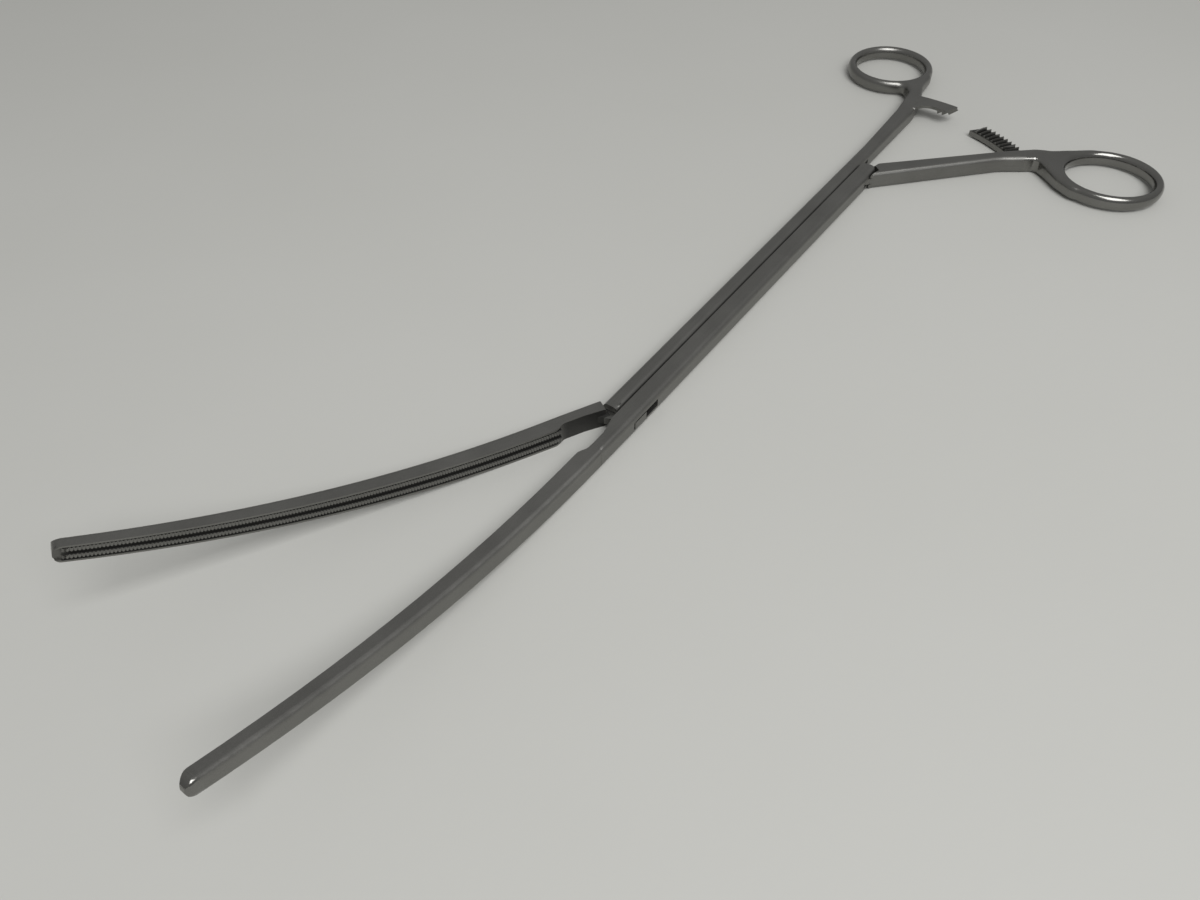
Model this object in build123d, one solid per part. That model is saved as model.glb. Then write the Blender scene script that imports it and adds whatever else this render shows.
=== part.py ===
"""Slide-shaft vascular clamp, lying open as photographed. Millimetres, +Z up, +X towards the jaws.

Two bars lie side by side along X. The ring bar carries a finger ring and the upper ratchet arm. The jaw bar slides
along it and carries the fixed jaw. The moving jaw and the moving handle each turn on a pin in the jaw bar and are
pushed by a second pin in the ring bar, so squeezing the rings slides the bars and shuts the jaws.
The origin is on the seam between the bars, at the ring bar's front end and on the floor.
"""

import os
from math import asin, cos, degrees, hypot, radians, sin

from build123d import *

# bars
HEIGHT = 5.1                       # both bars, the handles' shanks and the jaws' roots
SEAM = 0.3                         # gap between the two bars
RING_BAR_WIDTH = 4.0
JAW_BAR_WIDTH = 4.5
SIDE_ROUND = 1.3                   # rounding along the outer sides
HEAD_RADIUS = 4.5                  # the jaw bar's rear end, round the handle's pin
HEAD_OVERHANG = 0.6                # how far that end stands out past the bar's side
PAST = 1.0                         # how far a cutter runs past the face it opens
RING_BAR_INNER = -SEAM / 2
RING_BAR_OUTER = RING_BAR_INNER - RING_BAR_WIDTH
JAW_BAR_INNER = SEAM / 2
JAW_BAR_OUTER = JAW_BAR_INNER + JAW_BAR_WIDTH

# angles between the photographed open pose and shut jaws
JAW_SWING = 26.8
HANDLE_SWING = 18.5

# linkage: a crank is the line from the ring bar's pin to the jaw bar's pin, square to the bars at half swing
JAW_CRANK = 3.2
SLIDE = 2 * JAW_CRANK * sin(radians(JAW_SWING / 2))
HANDLE_CRANK = SLIDE / (2 * sin(radians(HANDLE_SWING / 2)))
JAW_PIN_X, JAW_PIN_Y = -1.2, 1.6
HANDLE_PIN_X, HANDLE_PIN_Y = -124.8, 2.2
PIN_RADIUS = 0.75
PIN_FIT = 0.01                     # radial, pin held in its bar
TURN_FIT = 0.05                    # radial, piece turning on its pin
CRANK_PLAY = 0.2                   # radial, round the two crank pins that give the linkage its play

# tangs: flat tongues that cross both bars in slots at half height
TANG = 1.8
TANG_PLAY = 0.12                   # above and below a tang
TANG_END = 1.65                    # radius of a tang's end round its crank pin
TANG_LOW = (HEIGHT - TANG) / 2
SLOT_ROOM = 0.35                   # between a swinging tang and the ends of its slots
SLOT_LOW = TANG_LOW - TANG_PLAY
TANG_BACK = (-4.5, JAW_BAR_OUTER - 0.1)          # corners of the jaw's tang that show at the bar's side, jaw open
TANG_FRONT = (-0.4, JAW_BAR_OUTER - 0.1)
TANG_ROOT = 2.5                    # how far the jaw's tang runs on inside its heel
TANG_ROOT_SIDE = -1.2
SLOT_BACK = -9.3                   # rear end of the slot that shows at the bar's side
SLOT_HIGH = HEIGHT - SLOT_LOW

# jaws, drawn shut: straight from above, curving up from the floor along a circular arc
JAW_START = 12.5                   # where the jaws' own shape begins, ahead of their roots
CURVE_START = 17.5
JAW_END = 110.9
TIP_LIFT = 18.5
CURVE_RADIUS = ((JAW_END - CURVE_START) ** 2 + TIP_LIFT ** 2) / (2 * TIP_LIFT)
JAW_ROOT_WIDTH = 4.1
JAW_TIP_WIDTH = 2.6
TIP_SHARE = 0.76                   # height at the tips over height at the roots
JAW_GAP = 0.2                      # between the working faces when shut
FACE_START = 14.0                  # where the rows of teeth begin
RELIEF_END, FACE_FULL = 12.6, 16.0  # the hollow ends and the working face is reached
RELIEF = 1.1                       # depth of the hollow at the jaw roots
TIP_ROUND = 1.25
ROW_STOP = 1.3                     # from the last tooth to the tip
HEEL_X = 2.8                       # rear end of the moving jaw's heel when shut
JAW_ROUND = 1.0                    # along the jaws' outer sides

# working faces: rows of fine teeth between long grooves, read from the bottom edge upwards
TOOTH_PITCH = 0.62
TOOTH_HEIGHT = 0.3
GROOVE_DEPTH = 0.55
RIM = 0.5
SIDE_GROOVE = 0.4
PAIR_ROW = 1.05                    # each of the moving jaw's two rows
MIDDLE_GROOVE = HEIGHT - 2 * (RIM + SIDE_GROOVE + PAIR_ROW)
SINGLE_ROW = MIDDLE_GROOVE - 0.5   # the fixed jaw's row, which enters the middle groove
SINGLE_ROW_RISE = 0.3
SUNK = 0.2                         # how far a row or a tooth is let into the metal under it

# finger rings
RING_HOLE_LONG, RING_HOLE_WIDE = 12.5, 11.6      # half sizes of the hole
RING_BAND = 2.8
RING_HEIGHT = 4.2
RING_ROUND = 1.15
RING_1 = (-198.3, -19.9)
RING_1_ANGLE = 10.0
RING_2 = (-166.4, 62.5)
RING_2_ANGLE = 125.0

# ratchet: both arms are arcs about the handle's pin, one above the other
ARM_RADIUS = 53.0
ARM_WIDTH = 4.9
ARM_MEETING = 3.1                  # height at which the arms' teeth pass
ARM_PLAY = 0.15                    # between the tooth tips of the two arms
RATCHET_PITCH = 1.7
RATCHET_DEPTH = 0.9
UPPER_ARM_TIP, UPPER_ARM_ROOT = 11.0, -6.0       # degrees above the ring bar, about the handle's pin
LOWER_ARM_TIP, LOWER_ARM_ROOT = 18.5, 44.0
UPPER_TEETH = 3
LOWER_TEETH = 9
ARM_SKIN = 0.1                     # the upper arm's top lies this far below the bars' top
LOWER_ARM_FLOOR = 0.6              # height of the lower arm's underside
ARM_SKEW = 2.0                     # degrees by which an arm's end is cut aslant
FIRST_TOOTH = 1.4                  # degrees from an arm's end to its first tooth
TOOTH_LEAN = 0.85                  # share of the pitch that a tooth's long slope takes
ARM_FILLET = 4.5                   # where the upper arm leaves the ring bar's shank

# outlines from above as x, y and corner radius: from the shank round the neck of each finger ring
RING_1_NECK = [(-140, RING_BAR_OUTER, 60), (-168, -5.1, 20), (-181.6, -6.6, 1.5), (-187.4, -10.4, 0.5),
               (-191, -12, 0.5), (-199, -6.1, 1.0), (-188, -3.9, 8), (-179, -1.25, 5), (-171, RING_BAR_INNER, 10)]
RING_2_NECK = [(-158.6, 29.9, 30), (-163.6, 35.1, 8), (-167.6, 39.6, 6), (-169.6, 43.6, 5), (-173.0, 47.3, 8),
               (-179.0, 54.0, 1.0), (-172, 55, 0.5), (-160, 55, 0.5), (-153.0, 56.0, 0.5), (-155.9, 50.0, 8),
               (-162.4, 42.4, 1.8), (-156.0, 33.5, 20)]
SHANK_HEEL = [(-127.2, 7.4, 2.0), (-125.5, 3.5, 0), (-131.9, 3.6, 1.5)]


def turned(point, centre, angle):
    """point carried round centre by angle, in degrees, counter-clockwise from above."""
    a = radians(angle)
    x, y = point[0] - centre[0], point[1] - centre[1]
    return (centre[0] + x * cos(a) - y * sin(a), centre[1] + x * sin(a) + y * cos(a))


def crank_end(pin, length, swing):
    """The ring bar's pin for a crank that stands half its swing short of square in the open pose."""
    half = radians(swing / 2)
    return (pin[0] - length * sin(half), pin[1] - length * cos(half))


JAW_PIN = (JAW_PIN_X, JAW_PIN_Y)
JAW_CRANK_PIN = crank_end(JAW_PIN, JAW_CRANK, JAW_SWING)
HANDLE_PIN = (HANDLE_PIN_X, HANDLE_PIN_Y)
HANDLE_CRANK_PIN = crank_end(HANDLE_PIN, HANDLE_CRANK, HANDLE_SWING)


def prism(points, low=0.0, high=HEIGHT):
    """A straight-sided block over a closed outline."""
    face = make_face(Polyline(*points, close=True))
    return extrude(Pos(0, 0, low) * face, high - low)


def drum(centre, radius, low=0.0, high=HEIGHT):
    return Pos(centre[0], centre[1], (low + high) / 2) * Cylinder(radius, high - low)


def smooth_prism(points):
    """A block as high as the bars over an outline of (x, y, corner radius)."""
    outline = Polyline(*[(x, y) for x, y, _ in points], close=True)
    face = make_face(outline)
    for x, y, r in points:
        if r:
            corner = min(face.vertices(), key=lambda v: hypot(v.X - x, v.Y - y))
            face = fillet([corner], r)
    return extrude(face, HEIGHT)


def oval(centre, angle, long_half, wide_half, low, high):
    face = Pos(centre[0], centre[1], low) * Rot(0, 0, angle) * Ellipse(long_half, wide_half)
    return extrude(face, high - low)


def finger_ring(centre, angle):
    """An oval band with rounded edges."""
    low, high = (HEIGHT - RING_HEIGHT) / 2, (HEIGHT + RING_HEIGHT) / 2
    band = oval(centre, angle, RING_HOLE_LONG + RING_BAND, RING_HOLE_WIDE + RING_BAND, low, high)
    band -= oval(centre, angle, RING_HOLE_LONG, RING_HOLE_WIDE, low - PAST, high + PAST)
    level = band.edges().filter_by(lambda e: e.bounding_box().size.Z < 1e-4)
    return fillet(level, RING_ROUND)


def ring_core(centre, angle):
    """Everything inside the middle of the band, kept clear of the neck."""
    half = RING_BAND / 2
    return oval(centre, angle, RING_HOLE_LONG + half, RING_HOLE_WIDE + half, -PAST, HEIGHT + PAST)


def arm_point(angle, radius):
    """A point at an angle above the line that runs back from the handle's pin."""
    a = radians(angle)
    return (HANDLE_PIN[0] - radius * cos(a), HANDLE_PIN[1] + radius * sin(a))


def ratchet_arm(tip, root, teeth, upper):
    """An arc-shaped arm with saw teeth on the side that faces the other arm."""
    up = 1 if upper else -1
    tip_plane = ARM_MEETING + up * ARM_PLAY / 2
    face_plane = tip_plane + up * RATCHET_DEPTH
    outer_plane = HEIGHT - ARM_SKIN if upper else LOWER_ARM_FLOOR
    low, high = sorted((face_plane, outer_plane))
    way = 1 if root > tip else -1
    inner = ARM_RADIUS - ARM_WIDTH / 2
    outer = ARM_RADIUS + ARM_WIDTH / 2
    steps = 8
    angles = [tip + (root - tip) * i / steps for i in range(steps + 1)]
    near = [arm_point(a + (way * ARM_SKEW if i == 0 else 0), outer) for i, a in enumerate(angles)]
    far = [arm_point(a, inner) for a in reversed(angles)]
    arm = prism(near + far, low, high)
    tooth = degrees(RATCHET_PITCH / ARM_RADIUS)
    for i in range(teeth):
        front = tip + way * (FIRST_TOOTH + i * tooth)
        arm += saw_tooth(front, front + way * tooth, inner, outer, face_plane, tip_plane)
    return arm


def saw_tooth(front, back, inner, outer, base, crest):
    """One tooth across an arm: a long slope up from front, then a short steep face at back."""
    a = arm_point(front, inner)
    d = arm_point(back, inner)
    across = arm_point(front, outer)
    e = tuple(a[k] + (d[k] - a[k]) * TOOTH_LEAN for k in range(2))
    sunk = base - SUNK if crest > base else base + SUNK
    side = Wire.make_polygon([(*a, sunk), (*a, base), (*e, crest), (*d, base), (*d, sunk)])
    return Solid.extrude(Face(side), Vector(across[0] - a[0], across[1] - a[1], 0))


def arm_fillet():
    """The curved corner between the ring bar's shank and the front of the upper arm."""
    low = ARM_MEETING + ARM_PLAY / 2 + RATCHET_DEPTH
    front = HANDLE_PIN[0] - ARM_RADIUS + ARM_WIDTH / 2
    x, y = front + ARM_FILLET, RING_BAR_INNER + ARM_FILLET
    block = prism([(front - PAST, RING_BAR_INNER - PAST), (x, RING_BAR_INNER - PAST), (x, y), (front - PAST, y)],
                  low, HEIGHT - ARM_SKIN)
    return block - drum((x, y), ARM_FILLET)


def bent(x, v):
    """The jaw's side view: distance x along its bottom edge and height v at the root, as (x, z)."""
    if x <= CURVE_START:
        return (x, v)
    a = (x - CURVE_START) / CURVE_RADIUS
    share = 1 + (TIP_SHARE - 1) * ((x - CURVE_START) / (JAW_LENGTH - CURVE_START)) ** 2
    r = CURVE_RADIUS - v * share
    return (CURVE_START + r * sin(a), CURVE_RADIUS - r * cos(a))


JAW_LENGTH = CURVE_START + CURVE_RADIUS * asin((JAW_END - CURVE_START) / CURVE_RADIUS)


def bent_band(start, end, low, high, inner, outer):
    """A strip along the jaw between two heights, from y = inner to y = outer."""
    straight = max(start, CURVE_START)

    def at(x, v):
        return (bent(x, v)[0], inner, bent(x, v)[1])

    lines = [ThreePointArc(at(straight, v), at((straight + end) / 2, v), at(end, v)) for v in (low, high)]
    if start < CURVE_START:
        lines += [Line(at(start, v), at(CURVE_START, v)) for v in (low, high)]
    lines += [Line(at(x, low), at(x, high)) for x in (start, end)]
    return Solid.extrude(Face(Wire(lines)), Vector(0, outer - inner, 0))


def tooth_row(start, end, low, high, foot, crest):
    """A row of fine teeth along the jaw, between two heights, from y = foot to y = crest."""
    count = int((end - start) / TOOTH_PITCH)
    root = crest + TOOTH_HEIGHT * (1 if foot > crest else -1)
    marks = [start + i * TOOTH_PITCH for i in range(count + 1)]

    def at(x, v, y):
        px, pz = bent(x, v)
        return (px, y, pz)

    def middle(x0, x1, v, y):
        p, q = bent(x0, v), bent(x1, v)
        return ((p[0] + q[0]) / 2, y, (p[1] + q[1]) / 2)

    faces = []
    for x0, x1 in zip(marks, marks[1:]):
        peak = {v: middle(x0, x1, v, crest) for v in (low, high)}
        for v in (low, high):
            faces.append([at(x0, v, foot), at(x0, v, root), peak[v], at(x1, v, root), at(x1, v, foot)])
        for x in (x0, x1):
            faces.append([at(x, low, root), at(x, high, root), peak[high]])
            faces.append([at(x, low, root), peak[high], peak[low]])
        faces.append([at(x0, low, foot), at(x1, low, foot), at(x1, high, foot)])
        faces.append([at(x0, low, foot), at(x1, high, foot), at(x0, high, foot)])
    for x in (marks[0], marks[-1]):
        faces.append([at(x, low, foot), at(x, high, foot), at(x, high, root), at(x, low, root)])
    return Solid(Shell([Face(Wire.make_polygon(f)) for f in faces]))


def jaw_blank(start, way):
    """A jaw as if shut, on the side of the seam that way points to, without its teeth."""
    inner = way * JAW_GAP / 2
    block = bent_band(start, JAW_LENGTH, 0.0, HEIGHT, 0.0, way * 8.0)
    slope = (JAW_ROOT_WIDTH - JAW_TIP_WIDTH) / (JAW_END - JAW_START)
    hollow, outer = inner + way * RELIEF, inner + way * JAW_TIP_WIDTH
    root = (start, inner + way * (JAW_ROOT_WIDTH + slope))
    beyond = JAW_END + 5
    plan = [Line((start, hollow), (RELIEF_END, hollow)),
            Spline((RELIEF_END, hollow), (FACE_FULL, inner), tangents=[(1, 0), (1, 0)]),
            Line((FACE_FULL, inner), (beyond, inner)), Line((beyond, inner), (beyond, outer - way * slope * 5)),
            Line((beyond, outer - way * slope * 5), root), Line(root, (start, hollow))]
    block &= extrude(Pos(0, 0, -1) * Face(Wire(plan)), TIP_LIFT + HEIGHT + 5, dir=(0, 0, 1))
    long_edges = [e for e in block.edges()
                  if e.length > 20 and abs(e.center().Y) > JAW_TIP_WIDTH * 0.7 and e.bounding_box().size.X > 5]
    block = fillet(long_edges, JAW_ROUND)
    return block - tip_rounding_from_above(inner, outer) - tip_rounding_from_the_side(way)


def tip_rounding_from_above(inner, outer):
    """What the rounding of the tip takes off, seen from above."""
    low, high = sorted((inner, outer))
    r, x, top = TIP_ROUND, JAW_END - TIP_ROUND, TIP_LIFT + 2 * HEIGHT
    tool = prism([(x, low - 1), (x + 5, low - 1), (x + 5, high + 1), (x, high + 1)], 0, top)
    tool -= prism([(x - 1, low + r), (x + r, low + r), (x + r, high - r), (x - 1, high - r)], -1, top + 1)
    for y in (low + r, high - r):
        tool -= drum((x, y), r, -1, top + 1)
    return tool


def tip_rounding_from_the_side(way):
    """What the rounding of the tip takes off, seen from the side."""
    r = TIP_ROUND
    tool = bent_band(JAW_LENGTH - r, JAW_LENGTH + 4, -2, HEIGHT + 2, -way, way * 8)
    v = r / TIP_SHARE
    tool -= bent_band(JAW_LENGTH - r - 1, JAW_LENGTH, v, HEIGHT - v, -way * 2, way * 9)
    for height in (v, HEIGHT - v):
        x, z = bent(JAW_LENGTH - r, height)
        tool -= Pos(x, way * 3.5, z) * Rot(90, 0, 0) * Cylinder(r, 14)
    return tool


def jaw(start, way):
    """A jaw as if shut. The moving one, on the -Y side, has two rows between three grooves; the fixed one has one row."""
    block = jaw_blank(start, way)
    inner = way * JAW_GAP / 2
    end = JAW_LENGTH - ROW_STOP
    if way > 0:
        middle = HEIGHT / 2
        return block + tooth_row(FACE_FULL + 1, end, middle - SINGLE_ROW / 2, middle + SINGLE_ROW / 2,
                                 inner + SUNK, inner - SINGLE_ROW_RISE)
    block -= bent_band(FACE_START - 1.5, JAW_LENGTH + PAST, RIM, HEIGHT - RIM, inner + PAST, inner - GROOVE_DEPTH)
    edge = RIM + SIDE_GROOVE
    for low, high in ((edge, edge + PAIR_ROW), (HEIGHT - edge - PAIR_ROW, HEIGHT - edge)):
        block += tooth_row(FACE_START, end, low, high, inner - GROOVE_DEPTH - SUNK, inner)
    return block


def built_ring_bar():
    """A bar that ends in an open fork for the moving jaw's tang, with a finger ring and the upper arm at the rear."""
    body = smooth_prism([(0, RING_BAR_INNER, 0), (0, RING_BAR_OUTER, 0)] + RING_1_NECK)
    far = [e for e in body.edges() if e.bounding_box().size.Z < 1e-4 and e.center().Y < RING_BAR_INNER - 0.4
           and e.center().X < -1]
    body = fillet(far, SIDE_ROUND)
    body -= ring_core(RING_1, RING_1_ANGLE)
    body += finger_ring(RING_1, RING_1_ANGLE)
    body += ratchet_arm(UPPER_ARM_TIP, UPPER_ARM_ROOT, UPPER_TEETH, True)
    body += arm_fillet()
    body -= front_slot_in_ring_bar()
    body -= rear_slot_in_ring_bar()
    for pin in (JAW_CRANK_PIN, HANDLE_CRANK_PIN):
        body -= drum(pin, PIN_RADIUS + PIN_FIT, -PAST, HEIGHT + PAST)
    return body


def front_slot_in_ring_bar():
    """Open at the bar's front end, with room behind for the tang as the jaw bar slides back."""
    back = JAW_CRANK_PIN[0] - TANG_END - SLIDE
    across = RING_BAR_OUTER - PAST
    return prism([(PAST, PAST), (PAST, across), (back, across), (back, PAST)], SLOT_LOW, SLOT_HIGH)


def rear_slot_in_ring_bar():
    """Slanted at the back, where the handle's tang comes closest as it swings."""
    x = HANDLE_CRANK_PIN[0]
    across = RING_BAR_OUTER - PAST
    front = x + TANG_END + SLIDE + SLOT_ROOM
    back = x - TANG_END - SLIDE - SLOT_ROOM
    return prism([(back - 6.0, PAST), (back - 3.0, across), (front, across), (front, PAST)], SLOT_LOW, SLOT_HIGH)


def built_jaw_bar():
    """A bar with a round end for the handle, the fixed jaw at its front and a slot for each tang."""
    rear = HANDLE_PIN[0]
    hollow = JAW_BAR_INNER + RELIEF
    jaw_side = JAW_GAP / 2 + JAW_ROOT_WIDTH
    bar = smooth_prism([(JAW_START, hollow, 0), (7.5, hollow, 3), (2.5, JAW_BAR_INNER, 3), (rear, JAW_BAR_INNER, 0),
                        (rear, JAW_BAR_OUTER, 0), (JAW_START, jaw_side + 0.2, 0)])
    outer = [e for e in bar.edges() if e.length > 20 and e.center().Y > JAW_BAR_OUTER - 0.5]
    bar = fillet(outer, SIDE_ROUND)
    side = JAW_BAR_OUTER + HEAD_OVERHANG
    start, end = rear - HEAD_RADIUS - PAST, rear + HEAD_RADIUS + PAST
    bar += drum(HANDLE_PIN, HEAD_RADIUS) & prism([(start, JAW_BAR_INNER), (end, JAW_BAR_INNER), (end, side), (start, side)])
    bar += jaw(JAW_START - 0.5, 1)
    bar -= front_slot_in_jaw_bar()
    bar -= rear_slot_in_jaw_bar()
    for pin in (JAW_PIN, HANDLE_PIN):
        bar -= drum(pin, PIN_RADIUS + PIN_FIT, -PAST, HEIGHT + PAST)
    return bar


def front_slot_in_jaw_bar():
    """Long at the outer side, and slanted at the inner side to clear the tang's front as the jaw shuts."""
    across = JAW_BAR_OUTER + PAST
    inside = JAW_BAR_INNER - PAST
    x0, y0 = turned(TANG_FRONT, JAW_PIN, JAW_SWING)
    x1, y1 = HEEL_X + TANG_ROOT, TANG_ROOT_SIDE
    slope = (x1 - x0) / (y0 - y1)
    front = TANG_FRONT[0] + 2 * SLOT_ROOM
    corner = y0 - (front - x0 - 2 * SLOT_ROOM) / slope
    foot = front + (corner - inside) * slope
    return prism([(SLOT_BACK, inside), (SLOT_BACK, across), (front, across), (front, corner), (foot, inside)],
                 SLOT_LOW, SLOT_HIGH)


def rear_slot_in_jaw_bar():
    x = HANDLE_PIN[0]
    back, front = x - 2 * HEAD_RADIUS, x + TANG_END + SLIDE + SLOT_ROOM
    inside, across = JAW_BAR_INNER - PAST, JAW_BAR_OUTER + 2 * PAST
    return prism([(back, inside), (back, across), (front, across), (front, inside)], SLOT_LOW, SLOT_HIGH)


def built_moving_jaw():
    """Drawn shut on the jaw bar, then swung open about its pin."""
    body = jaw(JAW_START - 0.5, -1)
    outer = -JAW_GAP / 2 - JAW_ROOT_WIDTH
    inner = -JAW_GAP / 2
    root = prism([(JAW_START, inner - RELIEF), (8.2, inner - RELIEF), (HEEL_X + 0.2, -0.75),
                  (HEEL_X, outer + 0.3), (HEEL_X + 0.4, outer), (JAW_START, outer)])
    edges = [e for e in root.edges() if e.bounding_box().size.Z < 1e-4 and abs(e.center().Y - outer) < 0.1
             and e.length > 3]
    root = fillet(edges, JAW_ROUND)
    body += root
    shut_crank = turned(JAW_CRANK_PIN, JAW_PIN, JAW_SWING)
    end_a = turned(TANG_BACK, JAW_PIN, JAW_SWING)
    end_b = turned(TANG_FRONT, JAW_PIN, JAW_SWING)
    x = HEEL_X + TANG_ROOT
    tongue = prism([(shut_crank[0] - TANG_END, shut_crank[1]), (shut_crank[0], shut_crank[1] - TANG_END),
                    (x, outer + 0.6), (x, TANG_ROOT_SIDE), end_b, end_a], TANG_LOW, TANG_LOW + TANG)
    tongue += drum(shut_crank, TANG_END, TANG_LOW, TANG_LOW + TANG)
    body += tongue
    body -= drum(JAW_PIN, PIN_RADIUS + TURN_FIT, -PAST, HEIGHT + PAST)
    body -= drum(shut_crank, PIN_RADIUS + CRANK_PLAY, -PAST, HEIGHT + PAST)
    return swung(body, JAW_PIN, -JAW_SWING)


def swung(body, pin, angle):
    return Pos(pin[0], pin[1], 0) * Rot(0, 0, angle) * Pos(-pin[0], -pin[1], 0) * body


def built_moving_handle():
    """A shank with a finger ring and the lower arm; its tang crosses the jaw bar to the ring bar's crank pin."""
    body = smooth_prism(RING_2_NECK + SHANK_HEEL)
    level = [e for e in body.edges() if e.bounding_box().size.Z < 1e-4 and e.center().Y > 5]
    body = fillet(level, SIDE_ROUND)
    body -= drum(HANDLE_PIN, HEAD_RADIUS + SEAM, -PAST, HEIGHT + PAST)
    body -= ring_core(RING_2, RING_2_ANGLE)
    body += finger_ring(RING_2, RING_2_ANGLE)
    body += ratchet_arm(LOWER_ARM_TIP, LOWER_ARM_ROOT, LOWER_TEETH, False)
    c, p = HANDLE_CRANK_PIN, HANDLE_PIN
    body += drum(c, TANG_END, TANG_LOW, TANG_LOW + TANG)
    body += prism([(c[0] - TANG_END, c[1]), (c[0] + TANG_END, c[1]), (p[0] + 2.1, p[1] + 0.4),
                   (p[0] + 1.6, p[1] + 1.9), (-128.5, 8.0), (-134, 6.5), (-131.9, 3.6), (-130.0, 0.8)],
                  TANG_LOW, TANG_LOW + TANG)
    body = swung(body, HANDLE_PIN, HANDLE_SWING)
    rear, front = HANDLE_PIN[0] - ARM_RADIUS - ARM_WIDTH, HANDLE_PIN[0] + 2 * HEAD_RADIUS
    for low, high in ((-PAST, SLOT_LOW), (SLOT_HIGH, HEIGHT + PAST)):
        body -= prism([(rear, JAW_BAR_INNER), (front, JAW_BAR_INNER), (front, -ARM_RADIUS), (rear, -ARM_RADIUS)], low, high)
    body = swung(body, HANDLE_PIN, -HANDLE_SWING)
    body -= drum(HANDLE_PIN, PIN_RADIUS + TURN_FIT, -PAST, HEIGHT + PAST)
    body -= drum(HANDLE_CRANK_PIN, PIN_RADIUS + CRANK_PLAY, -PAST, HEIGHT + PAST)
    return body


NODES = {
    "ring_bar": built_ring_bar,
    "jaw_bar": built_jaw_bar,
    "moving_jaw": built_moving_jaw,
    "moving_handle": built_moving_handle,
    "jaw_pin": lambda: drum(JAW_PIN, PIN_RADIUS),
    "jaw_crank_pin": lambda: drum(JAW_CRANK_PIN, PIN_RADIUS),
    "handle_pin": lambda: drum(HANDLE_PIN, PIN_RADIUS),
    "handle_crank_pin": lambda: drum(HANDLE_CRANK_PIN, PIN_RADIUS),
}

os.makedirs("parts", exist_ok=True)
for name, make in NODES.items():
    shape = make()
    solids = shape.solids()
    print(name, "solids", len(solids), "volume", round(sum(s.volume for s in solids), 1))
    export_step(Compound(children=list(solids)) if len(solids) > 1 else solids[0], f"parts/{name}.step")
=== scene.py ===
# %% [markdown]
# # A long vascular clamp in satin steel
# This notebook dresses a finished CAD model in Blender. The clamp lies open on a pale table: two bars side
# by side, two finger rings at the rear and two jaws that curve up off the table at the front. Most shapes
# come straight from the CAD frame. A few places are reshaped on merged copies of it: the jaws' tips, the
# finger rings with their necks, and the joint of the handle. What a picture needs on top is the finish of
# each piece, which on steel means three things: how rough the surface is, which way its fine lines run, and
# what it has around it to mirror.

# %% Load the frame
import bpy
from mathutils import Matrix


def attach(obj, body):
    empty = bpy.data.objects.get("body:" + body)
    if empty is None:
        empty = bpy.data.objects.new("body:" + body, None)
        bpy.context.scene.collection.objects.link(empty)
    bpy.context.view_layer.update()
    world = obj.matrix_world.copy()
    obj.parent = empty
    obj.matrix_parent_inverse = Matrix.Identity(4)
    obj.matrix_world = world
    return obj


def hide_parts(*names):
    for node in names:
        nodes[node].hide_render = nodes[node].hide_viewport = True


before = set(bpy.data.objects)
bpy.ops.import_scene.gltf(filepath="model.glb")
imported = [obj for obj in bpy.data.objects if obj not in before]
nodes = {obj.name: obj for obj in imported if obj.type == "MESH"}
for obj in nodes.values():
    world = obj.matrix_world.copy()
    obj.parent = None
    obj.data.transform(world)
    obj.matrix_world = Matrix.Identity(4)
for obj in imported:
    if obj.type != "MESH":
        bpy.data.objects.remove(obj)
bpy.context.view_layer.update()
print("pieces in the frame:", ", ".join(sorted(nodes)))

# %% [markdown]
# ## Measures of the clamp
# A finish has to know where things are: a groove gets its shade only on the jaw's face, and a ring its
# polish only round the ring. One could pick those places by eye, but they would slip as soon as a size
# changes. So the places are written once, in metres, as they are on the CAD model, and the cells below work
# from them.

# %% Measures that the finishes share with the shapes
from itertools import product
from math import asin, radians

import bmesh
import bpy
import numpy as np
from mathutils import Matrix, Vector

MM = 0.001
BAR_HEIGHT = 5.1 * MM
JAW_BAR_SIDE = 4.65 * MM
SIDE_ROUND = 1.3 * MM
JAW_PIN = (-1.2 * MM, 1.6 * MM)
JAW_SWING = radians(26.8)
JAW_CURVE_START = 17.5 * MM
JAW_TIP_LIFT = 18.5 * MM
JAW_END = 110.9 * MM
JAW_HALF_WIDTH = 1.4 * MM
HANDLE_PIN = (-124.8 * MM, 2.2 * MM)
HANDLE_SWING = radians(18.5)
HANDLE_LINES = radians(-43.3)
RING_1 = (-198.3 * MM, -19.9 * MM)
RING_2 = (-166.4 * MM, 62.5 * MM)

# %% [markdown]
# ## The camera
# A phone was held about fifteen centimetres above the table, so the jaws loom large and the rings look
# small. That strong perspective only comes back when the camera stands at the same place with the same wide
# lens. The three directions below are the camera's own right, up and backward directions, written out as
# the columns of its matrix.

# %% Camera
CAMERA_PLACE = Vector((0.1177, 0.0783, 0.14495))
CAMERA_RIGHT = Vector((-0.5777, 0.8162, 0.0))
CAMERA_UP = Vector((-0.5995, -0.4243, 0.6787))
CAMERA_BACK = Vector((0.5540, 0.3921, 0.7344))

camera_data = bpy.data.cameras.new("camera")
camera_data.sensor_width = 36.0
camera_data.lens = 27.03
camera_data.clip_start = 0.005
camera = bpy.data.objects.new("camera", camera_data)
turn = Matrix((CAMERA_RIGHT, CAMERA_UP, CAMERA_BACK)).transposed().to_4x4()
camera.matrix_world = Matrix.Translation(CAMERA_PLACE) @ turn
bpy.context.scene.collection.objects.link(camera)
bpy.context.scene.camera = camera
print("camera height", round(CAMERA_PLACE.z / MM), "mm, lens", round(camera_data.lens, 2), "mm")

# %% [markdown]
# ## Small helpers for node trees
# A material is a graph. Five short functions keep the cells below readable: one adds a node and sets its
# values, one does a step of arithmetic, one makes a smooth change between two values, one mixes two
# colours, and one opens a node group with named sockets.

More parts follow.
